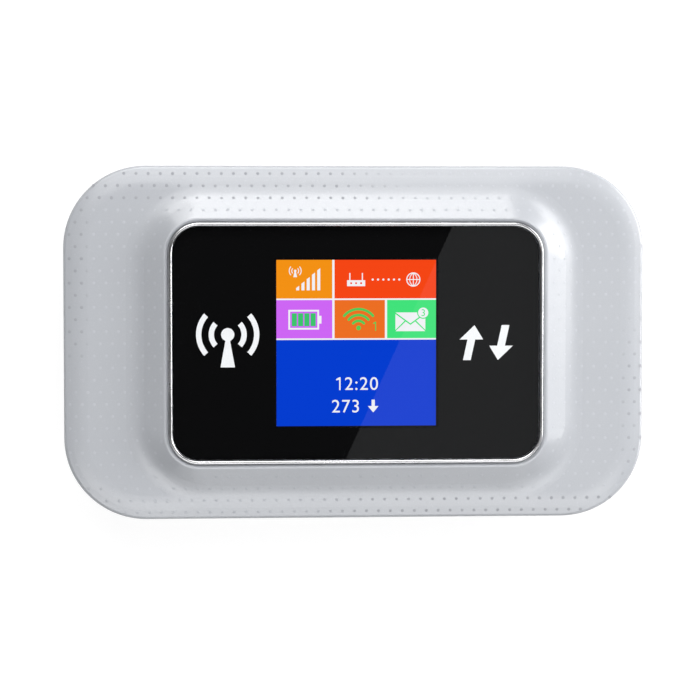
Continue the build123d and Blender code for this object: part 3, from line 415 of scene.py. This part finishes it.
# The lit area of a 1.44 inch display, in millimetres from its middle.
LIT_WIDTH, LIT_HEIGHT = 25.5, 26.5
LEFT, RIGHT = -LIT_WIDTH / 2, LIT_WIDTH / 2
LOW, TOP = -LIT_HEIGHT / 2, LIT_HEIGHT / 2
FIRST_TILE, SECOND_TILE, TILE_GAP = 8.9, 8.05, 0.36  # widths of tiles and of the lines between
FIRST_ROW, SECOND_ROW, ROW_GAP = 6.15, 6.1, 0.25  # heights of rows and of the lines between

WHITE = lit_pixels("pixels_white", (0.93, 0.93, 0.95))
AMBER = lit_pixels("pixels_amber", (0.95, 0.295, 0.006))
RED = lit_pixels("pixels_red", (0.97, 0.062, 0.006))
PURPLE = lit_pixels("pixels_purple", (0.65, 0.138, 0.94))
ORANGE = lit_pixels("pixels_orange", (0.89, 0.163, 0.016))
GREEN = lit_pixels("pixels_green", (0.055, 0.80, 0.205))
BLUE = lit_pixels("pixels_blue", (0.0, 0.047, 0.65))
LEAF = lit_pixels("pixels_leaf", (0.10, 0.61, 0.10))
MINT = lit_pixels("pixels_mint", (0.048, 0.58, 0.155))


def draw_tiles(picture):
    """Five coloured tiles in two rows and a blue field, on white that shows between them."""
    picture.box(LEFT, RIGHT, LOW, TOP, WHITE, 0)
    picture.box(LEFT, LEFT + FIRST_TILE, TOP - FIRST_ROW, TOP, AMBER, 1)
    picture.box(LEFT + FIRST_TILE + TILE_GAP, RIGHT, TOP - FIRST_ROW, TOP, RED, 1)
    row_top = TOP - FIRST_ROW - ROW_GAP
    row_low = row_top - SECOND_ROW
    picture.box(LEFT, LEFT + FIRST_TILE, row_low, row_top, PURPLE, 1)
    second = LEFT + FIRST_TILE + TILE_GAP
    picture.box(second, second + SECOND_TILE, row_low, row_top, ORANGE, 1)
    third = LEFT + FIRST_TILE + SECOND_TILE + 2 * TILE_GAP
    picture.box(third, RIGHT, row_low, row_top, GREEN, 1)
    picture.box(LEFT, RIGHT, LOW, row_low - ROW_GAP, BLUE, 1)


def draw_signal(picture):
    """Five signal bars with leaning tops, and a small mast."""
    base = TOP - 4.85
    for i in range(5):
        x = LEFT + 3.15 + i * 0.84
        tall = 0.72 + i * 0.70
        bar = [(x, base), (x + 0.48, base), (x + 0.48, base + tall), (x, base + tall - 0.35)]
        picture.polygon(bar, WHITE, 2)
    mast_x, mast_y = LEFT + 3.0, TOP - 1.75
    picture.disc(mast_x, mast_y, 0.20, WHITE, 2)
    mast = [
        (mast_x - 0.08, mast_y),
        (mast_x + 0.08, mast_y),
        (mast_x + 0.3, mast_y - 1.0),
        (mast_x - 0.3, mast_y - 1.0),
    ]
    picture.polygon(mast, WHITE, 2)
    for side in (0, 180):
        picture.arc(mast_x, mast_y, 0.55, 0.14, side - 45, side + 45, WHITE, 2)
        picture.arc(mast_x, mast_y, 0.95, 0.14, side - 45, side + 45, WHITE, 2)


def draw_link(picture):
    """A router, a dotted link and a globe, in place of a title."""
    row_y = TOP - 3.15
    link_x = LEFT + FIRST_TILE + TILE_GAP + 2.0
    picture.box(link_x, link_x + 2.9, row_y - 1.05, row_y - 0.1, WHITE, 2)
    for i in range(3):
        picture.disc(link_x + 0.65 + i * 0.8, row_y - 0.57, 0.16, RED, 3)
    for aerial in (0.45, 2.45):
        aerial_x = link_x + aerial
        picture.box(aerial_x - 0.09, aerial_x + 0.09, row_y - 0.1, row_y + 1.05, WHITE, 2)
    for i in range(6):
        picture.disc(link_x + 4.1 + i * 0.85, row_y, 0.17, WHITE, 2)
    globe_x = link_x + 10.6
    picture.arc(globe_x, row_y, 1.05, 0.17, 0, 360, WHITE, 2, 40)
    picture.box(globe_x - 1.0, globe_x + 1.0, row_y - 0.07, row_y + 0.07, WHITE, 2)
    picture.box(globe_x - 0.07, globe_x + 0.07, row_y - 1.0, row_y + 1.0, WHITE, 2)
    for side, facing in ((-1, 180), (1, 0)):
        meridian_x = globe_x - side * 0.62
        picture.arc(meridian_x, row_y, 1.20, 0.13, facing - 54, facing + 54, WHITE, 2)


def draw_battery(picture):
    """A battery outline with four bars."""
    cell_left, cell_right = LEFT + 1.9, LEFT + 6.8
    cell_top, cell_low = TOP - 7.95, TOP - 11.1
    wall, inset = 0.28, 0.55
    picture.box(cell_left, cell_right, cell_low, cell_top, WHITE, 2)
    picture.box(cell_left + wall, cell_right - wall, cell_low + wall, cell_top - wall, PURPLE, 3)
    cell_middle = (cell_low + cell_top) / 2
    picture.box(cell_right, cell_right + 0.38, cell_middle - 0.62, cell_middle + 0.62, WHITE, 2)
    for i in range(4):
        x = cell_left + inset + i * 1.0
        picture.box(x, x + 0.80, cell_low + inset, cell_top - inset, MINT, 4)


def draw_fan(picture):
    """Three wireless waves with round ends over a dot, and a counter."""
    fan_x, fan_y = LEFT + 13.1, TOP - 10.85
    start, end, width = 40, 140, 0.42
    picture.disc(fan_x, fan_y, 0.38, LEAF, 2)
    for radius in (1.12, 2.05, 3.0):
        picture.arc(fan_x, fan_y, radius, width, start, end, LEAF, 2)
        for end_x, end_y in around(fan_x, fan_y, radius, [math.radians(start), math.radians(end)]):
            picture.disc(end_x, end_y, width / 2, LEAF, 3, 12)
    picture.one(LEFT + 15.75, TOP - 10.6, 1.45, LEAF, 2)


def draw_envelope(picture):
    """An envelope with its flap and folds, and a round badge."""
    mail_left, mail_right = LEFT + 19.0, LEFT + 23.8
    mail_top, mail_low = TOP - 8.4, TOP - 11.4
    middle = (mail_left + mail_right) / 2
    picture.box(mail_left, mail_right, mail_low, mail_top, WHITE, 2)
    for side, edge in ((-1, mail_left), (1, mail_right)):
        flap = [
            (edge, mail_top),
            (middle, mail_top - 1.75),
            (middle, mail_top - 2.0),
            (edge, mail_top - 0.25),
        ]
        picture.polygon(flap, GREEN, 3)
        fold = [
            (edge, mail_low),
            (middle + side * 0.75, mail_low + 1.55),
            (middle + side * 0.95, mail_low + 1.65),
            (edge, mail_low + 0.2),
        ]
        picture.polygon(fold, GREEN, 3)
    badge_x, badge_y = mail_right - 0.35, mail_top - 0.05
    picture.disc(badge_x, badge_y, 0.98, GREEN, 4)
    picture.disc(badge_x, badge_y, 0.82, WHITE, 5)
    picture.digits("3", badge_x, badge_y, 1.1, GREEN, 6)


def draw_counters(picture):
    """A clock, and a counter with an arrow."""
    height = 2.05
    clock_y, counter_y = TOP - 19.75, TOP - 23.35
    picture.one(-2.75, clock_y, height, WHITE, 2)
    picture.digits("2:20", 0.82, clock_y, height, WHITE, 2, 1.1)
    picture.digits("273", -1.75, counter_y, height, WHITE, 2, 1.08)
    arrow_x, half, tall = 2.7, 0.85, 1.02
    head = [
        (arrow_x - half, counter_y),
        (arrow_x + half, counter_y),
        (arrow_x, counter_y - tall),
    ]
    picture.polygon(head, WHITE, 2)
    picture.box(arrow_x - 0.26, arrow_x + 0.26, counter_y, counter_y + tall, WHITE, 2)


def make_screen_image():
    """The lit picture: coloured tiles with generic icons, over a blue field with digits."""
    picture = Picture(DISPLAY_Z + 0.01 * MM)
    draw_tiles(picture)
    draw_signal(picture)
    draw_link(picture)
    draw_battery(picture)
    draw_fan(picture)
    draw_envelope(picture)
    draw_counters(picture)
    return picture.finish("screen_image")


# ================= Dot texture =================


def ramp(tree, value, start, end):
    """Rises from 0 to 1 between two values."""
    node = tree.nodes.new("ShaderNodeMapRange")
    node.interpolation_type = "SMOOTHSTEP"
    node.inputs["From Min"].default_value = start
    node.inputs["From Max"].default_value = end
    tree.links.new(value, node.inputs["Value"])
    return node.outputs["Result"]


def combine(tree, operation, first, second):
    """Puts two values through a math node."""
    node = tree.nodes.new("ShaderNodeMath")
    node.operation = operation
    tree.links.new(first, node.inputs[0])
    tree.links.new(second, node.inputs[1])
    return node.outputs["Value"]


def dots_with_painted_shade():
    """Matt dots, darker in the rows along two opposite corners and pale elsewhere. The darker tone is
    painted shade, placed by where the cover is lit.
    """
    material, tree, shader = start_material("dot_texture_with_painted_shade")
    split = tree.nodes.new("ShaderNodeSeparateXYZ")
    tree.links.new(place_of(tree), split.inputs["Vector"])
    x, y = split.outputs["X"], split.outputs["Y"]
    # painted shade: these masks pick the outer rows where the dots are darkened
    shaded_top_rows = ramp(tree, y, 21.5 * MM, 22.5 * MM)
    shaded_bottom_rows = ramp(tree, y, -23.4 * MM, -24.6 * MM)
    shaded_right_rows = ramp(tree, x, 42.0 * MM, 44.0 * MM)
    shaded_left_rows = ramp(tree, x, -41.5 * MM, -43.5 * MM)
    band = combine(tree, "MAXIMUM", shaded_top_rows, shaded_bottom_rows)
    ends = combine(tree, "MAXIMUM", shaded_right_rows, shaded_left_rows)
    rows = combine(tree, "MAXIMUM", band, ends)
    # x times y is positive towards the two corners that stay pale; the other two corners get the
    # painted shade
    pale_product, shaded_product = 450 * MM * MM, -200 * MM * MM
    shaded_corners = ramp(tree, combine(tree, "MULTIPLY", x, y), pale_product, shaded_product)
    # painted shade: where the rows and the corners meet, the dots take the darker copy of their colour
    painted_shade = combine(tree, "MULTIPLY", rows, shaded_corners)
    mix = tree.nodes.new("ShaderNodeMix")
    mix.data_type = "RGBA"
    cloud = noise(tree, 0.006, 2.0)
    pale_colours = blend_colours(tree, cloud, (0.45, 0.465, 0.495), (0.475, 0.49, 0.52))
    shaded_dot_colours = blend_colours(tree, cloud, (0.33, 0.34, 0.365), (0.37, 0.38, 0.405))
    tree.links.new(pale_colours, mix.inputs["A"])
    tree.links.new(shaded_dot_colours, mix.inputs["B"])
    tree.links.new(painted_shade, mix.inputs["Factor"])
    tree.links.new(mix.outputs["Result"], shader.inputs["Base Color"])
    fine = noise(tree, 0.0002)
    tree.links.new(spread(tree, fine, 0.75, 0.9), shader.inputs["Roughness"])
    shader.inputs["Specular IOR Level"].default_value = 0.15
    return material


def dot_places():
    """Places and normals of the dots, in staggered rows over the cover's border and slopes."""
    pitch = 1.93 * MM
    margin = 0.9 * MM  # no dots on the ring or this close to it
    first_row = 1.25 * MM  # in from the outline
    steepest = 0.62  # upward part of the normal where the dots end
    cover = nodes["front_cover"]
    cover_low, cover_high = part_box("front_cover")
    surface = BVHTree.FromPolygons(
        [v.co for v in cover.data.vertices], [p.vertices for p in cover.data.polygons]
    )
    ring_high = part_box("trim_ring")[1]
    clear_x = ring_high.x + margin
    clear_y = ring_high.y + margin
    rows = int((cover_high.y - cover_low.y) / pitch) + 1
    columns = int((cover_high.x - cover_low.x) / pitch) + 2
    first_y = cover_high.y - first_row
    for row in range(rows):
        y = first_y - row * pitch
        for column in range(columns):
            x = cover_low.x + (column + 0.5 * (row % 2)) * pitch
            if abs(x) < clear_x and abs(y) < clear_y:
                continue
            above = Vector((x, y, cover_high.z + MM))
            place, normal, _, _ = surface.ray_cast(above, Vector((0, 0, -1)))
            if place is not None and normal.z >= steepest:
                yield place, normal


def add_dot(mesh, place, normal):
    """A shallow round dot, whose outer ring lies just under the surface."""
    radius = 0.30 * MM
    proud = 0.008 * MM
    steps = 10
    across = normal.orthogonal().normalized()
    along = normal.cross(across)
    centre = mesh.verts.new(place + normal * proud)
    rings = []
    for share, lift in ((0.6, 0.75), (1.0, -0.4)):
        ring = []
        for i in range(steps):
            turn = 2 * math.pi * i / steps
            offset = (across * math.cos(turn) + along * math.sin(turn)) * radius * share
            ring.append(mesh.verts.new(place + offset + normal * proud * lift))
        rings.append(ring)
    inner, outer = rings
    for i in range(steps):
        j = (i + 1) % steps
        mesh.faces.new((centre, inner[i], inner[j]))
        mesh.faces.new((inner[i], outer[i], outer[j], inner[j]))


def make_front_dots():
    """The dot texture of the front cover, as one piece."""
    mesh = bmesh.new()
    for place, normal in dot_places():
        add_dot(mesh, place, normal)
    for face in mesh.faces:
        face.smooth = True
    data = bpy.data.meshes.new("front_dots")
    mesh.normal_update()
    mesh.to_mesh(data)
    mesh.free()
    data.materials.append(dots_with_painted_shade())
    piece = bpy.data.objects.new("front_dots", data)
    bpy.context.scene.collection.objects.link(piece)
    return piece


# ================= Studio =================


def floor_finish():
    """The camera sees the floor nearly white, and from below it is see-through.

    It glows on what rests on it, so that the underside isn't black when seen from below.
    """
    material, tree, shader = start_material("pale_floor")
    path = tree.nodes.new("ShaderNodeLightPath")
    seen = path.outputs["Is Camera Ray"]
    tone = tree.nodes.new("ShaderNodeMix")
    tone.data_type = "RGBA"
    tone.inputs["A"].default_value = (0.8, 0.8, 0.8, 1.0)
    tone.inputs["B"].default_value = (0.22, 0.22, 0.22, 1.0)
    tree.links.new(seen, tone.inputs["Factor"])
    tree.links.new(tone.outputs["Result"], shader.inputs["Base Color"])
    shader.inputs["Roughness"].default_value = 0.9
    shader.inputs["Specular IOR Level"].default_value = 0.1
    shader.inputs["Emission Color"].default_value = (1.0, 1.0, 1.0, 1.0)
    glow = tree.nodes.new("ShaderNodeMath")
    glow.operation = "MULTIPLY"
    glow.inputs[1].default_value = 0.85
    tree.links.new(seen, glow.inputs[0])
    near = tree.nodes.new("ShaderNodeMapRange")
    near.inputs["From Min"].default_value = 1.5 * MM
    near.inputs["From Max"].default_value = 0.5 * MM
    near.inputs["To Max"].default_value = 0.55
    tree.links.new(path.outputs["Ray Length"], near.inputs["Value"])
    strength = combine(tree, "MAXIMUM", glow.outputs["Value"], near.outputs["Result"])
    tree.links.new(strength, shader.inputs["Emission Strength"])
    clear = tree.nodes.new("ShaderNodeBsdfTransparent")
    side = tree.nodes.new("ShaderNodeNewGeometry")
    mix = tree.nodes.new("ShaderNodeMixShader")
    output = next(n for n in tree.nodes if n.bl_idname == "ShaderNodeOutputMaterial")
    tree.links.new(side.outputs["Backfacing"], mix.inputs["Fac"])
    tree.links.new(shader.outputs["BSDF"], mix.inputs[1])
    tree.links.new(clear.outputs["BSDF"], mix.inputs[2])
    tree.links.new(mix.outputs["Shader"], output.inputs["Surface"])
    return material


def make_floor():
    """A pale table under the object."""
    size = 1.5
    gap = 0.02 * MM  # under the back cover
    z = cad_low.z - gap
    data = bpy.data.meshes.new("floor")
    corners = [(-size, -size, z), (size, -size, z), (size, size, z), (-size, size, z)]
    data.from_pydata(corners, [], [(0, 1, 2, 3)])
    data.materials.append(floor_finish())
    floor = bpy.data.objects.new("floor", data)
    bpy.context.scene.collection.objects.link(floor)


def make_softbox(name, azimuth, elevation, spread_angle, rise_angle, radiance):
    """An area light aimed at the object. Azimuth 0 stands at +X and 90 at +Y."""
    width = 2 * LIGHT_DISTANCE * math.tan(math.radians(spread_angle / 2))
    height = 2 * LIGHT_DISTANCE * math.tan(math.radians(rise_angle / 2))
    turn, rise = math.radians(azimuth), math.radians(elevation)
    toward = Vector((math.cos(turn) * math.cos(rise), math.sin(turn) * math.cos(rise), math.sin(rise)))
    light = bpy.data.lights.new(name, "AREA")
    light.shape = "RECTANGLE"
    light.size, light.size_y = width, height
    light.energy = radiance * math.pi * width * height
    holder = bpy.data.objects.new(name, light)
    bpy.context.scene.collection.objects.link(holder)
    holder.location = toward * LIGHT_DISTANCE
    holder.rotation_mode = "QUATERNION"
    holder.rotation_quaternion = toward.to_track_quat("Z", "Y")
    holder.visible_camera = False


def make_card(name, height, outline, radiance):
    """A level card overhead that only mirrors show."""
    data = bpy.data.meshes.new(name)
    data.from_pydata([(x * MM, y * MM, height * MM) for x, y in outline], [], [range(len(outline))])
    card = bpy.data.objects.new(name, data)
    bpy.context.scene.collection.objects.link(card)
    material, tree, shader = start_material(name)
    shader.inputs["Base Color"].default_value = (0.0, 0.0, 0.0, 1.0)
    shader.inputs["Specular IOR Level"].default_value = 0.0
    shader.inputs["Emission Color"].default_value = (1.0, 1.0, 1.0, 1.0)
    shader.inputs["Emission Strength"].default_value = radiance
    data.materials.append(material)
    card.visible_camera = False
    card.visible_diffuse = False
    card.visible_shadow = False


def make_cards():
    """A dark card keeps the window black, and the slanting edge of a pale one crosses it."""
    make_card("dark_card", 210, [(-34, -46), (66, -46), (66, 24), (-34, 24)], 0.02)
    make_card("pale_card", 200, [(3, -55), (80, -55), (80, 30), (42, 30)], 0.45)


def make_world():
    """Soft surround: dim overhead, bright from below, and pale where the camera sees it."""
    world = bpy.data.worlds.new("surround")
    bpy.context.scene.world = world
    world.use_nodes = True
    background = next(n for n in world.node_tree.nodes if n.bl_idname == "ShaderNodeBackground")
    background.inputs["Color"].default_value = (0.975, 0.988, 1.0, 1.0)
    tree = world.node_tree
    split = tree.nodes.new("ShaderNodeSeparateXYZ")
    tree.links.new(tree.nodes.new("ShaderNodeTexCoord").outputs["Generated"], split.inputs["Vector"])
    level = tree.nodes.new("ShaderNodeMapRange")
    level.inputs["From Min"].default_value = 0.0
    level.inputs["From Max"].default_value = -0.1
    level.inputs["To Min"].default_value = 0.1
    level.inputs["To Max"].default_value = 0.9
    tree.links.new(split.outputs["Z"], level.inputs["Value"])
    seen = tree.nodes.new("ShaderNodeLightPath").outputs["Is Camera Ray"]
    strength = tree.nodes.new("ShaderNodeMix")
    strength.inputs["B"].default_value = 0.95
    tree.links.new(seen, strength.inputs["Factor"])
    tree.links.new(level.outputs["Result"], strength.inputs["A"])
    tree.links.new(strength.outputs["Result"], background.inputs["Strength"])


def make_camera():
    """Looks down on the display, a few degrees off its normal."""
    azimuth, elevation = math.radians(4.31), math.radians(2.74)
    distance = 0.386
    focal = 124.9
    target = Vector((0.0, 0.0, WINDOW_Z))
    aim = target + Vector((-1.11, -1.06, 0.0)) * MM
    eye = target + distance * Vector(
        (
            -math.sin(azimuth) * math.cos(elevation),
            math.sin(elevation),
            math.cos(azimuth) * math.cos(elevation),
        )
    )
    # the aim only turns the camera a little, to place the object in the picture
    back = (eye - aim).normalized()
    across = Vector((0.0, 1.0, 0.0)).cross(back).normalized()
    up = back.cross(across)
    data = bpy.data.cameras.new("camera")
    data.lens = focal
    data.sensor_width = 36.0
    data.clip_start = 0.01
    camera = bpy.data.objects.new("camera", data)
    bpy.context.scene.collection.objects.link(camera)
    camera.matrix_world = Matrix.Translation(eye) @ Matrix((across, up, back)).transposed().to_4x4()
    bpy.context.scene.camera = camera


# ================= Assembly =================

finish_nodes()

screen_image = make_screen_image()
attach(screen_image, "hotspot")

front_dots = make_front_dots()
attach(front_dots, "hotspot")

make_floor()
make_softbox("right_light", 24, 35, 40, 26, 4.0)
make_softbox("low_right_light", 10, 17, 50, 12, 9.0)
make_softbox("top_light", 88, 35, 26, 26, 4.6)
make_softbox("top_left_light", 115, 35, 26, 26, 3.8)
make_softbox("high_top_light", 100, 60, 40, 24, 1.9)
make_softbox("high_front_light", 270, 62, 60, 24, 2.2)
make_softbox("front_light", 270, 35, 60, 30, 0.9)
make_cards()
make_world()
make_camera()
bpy.context.scene.view_settings.view_transform = "Standard"
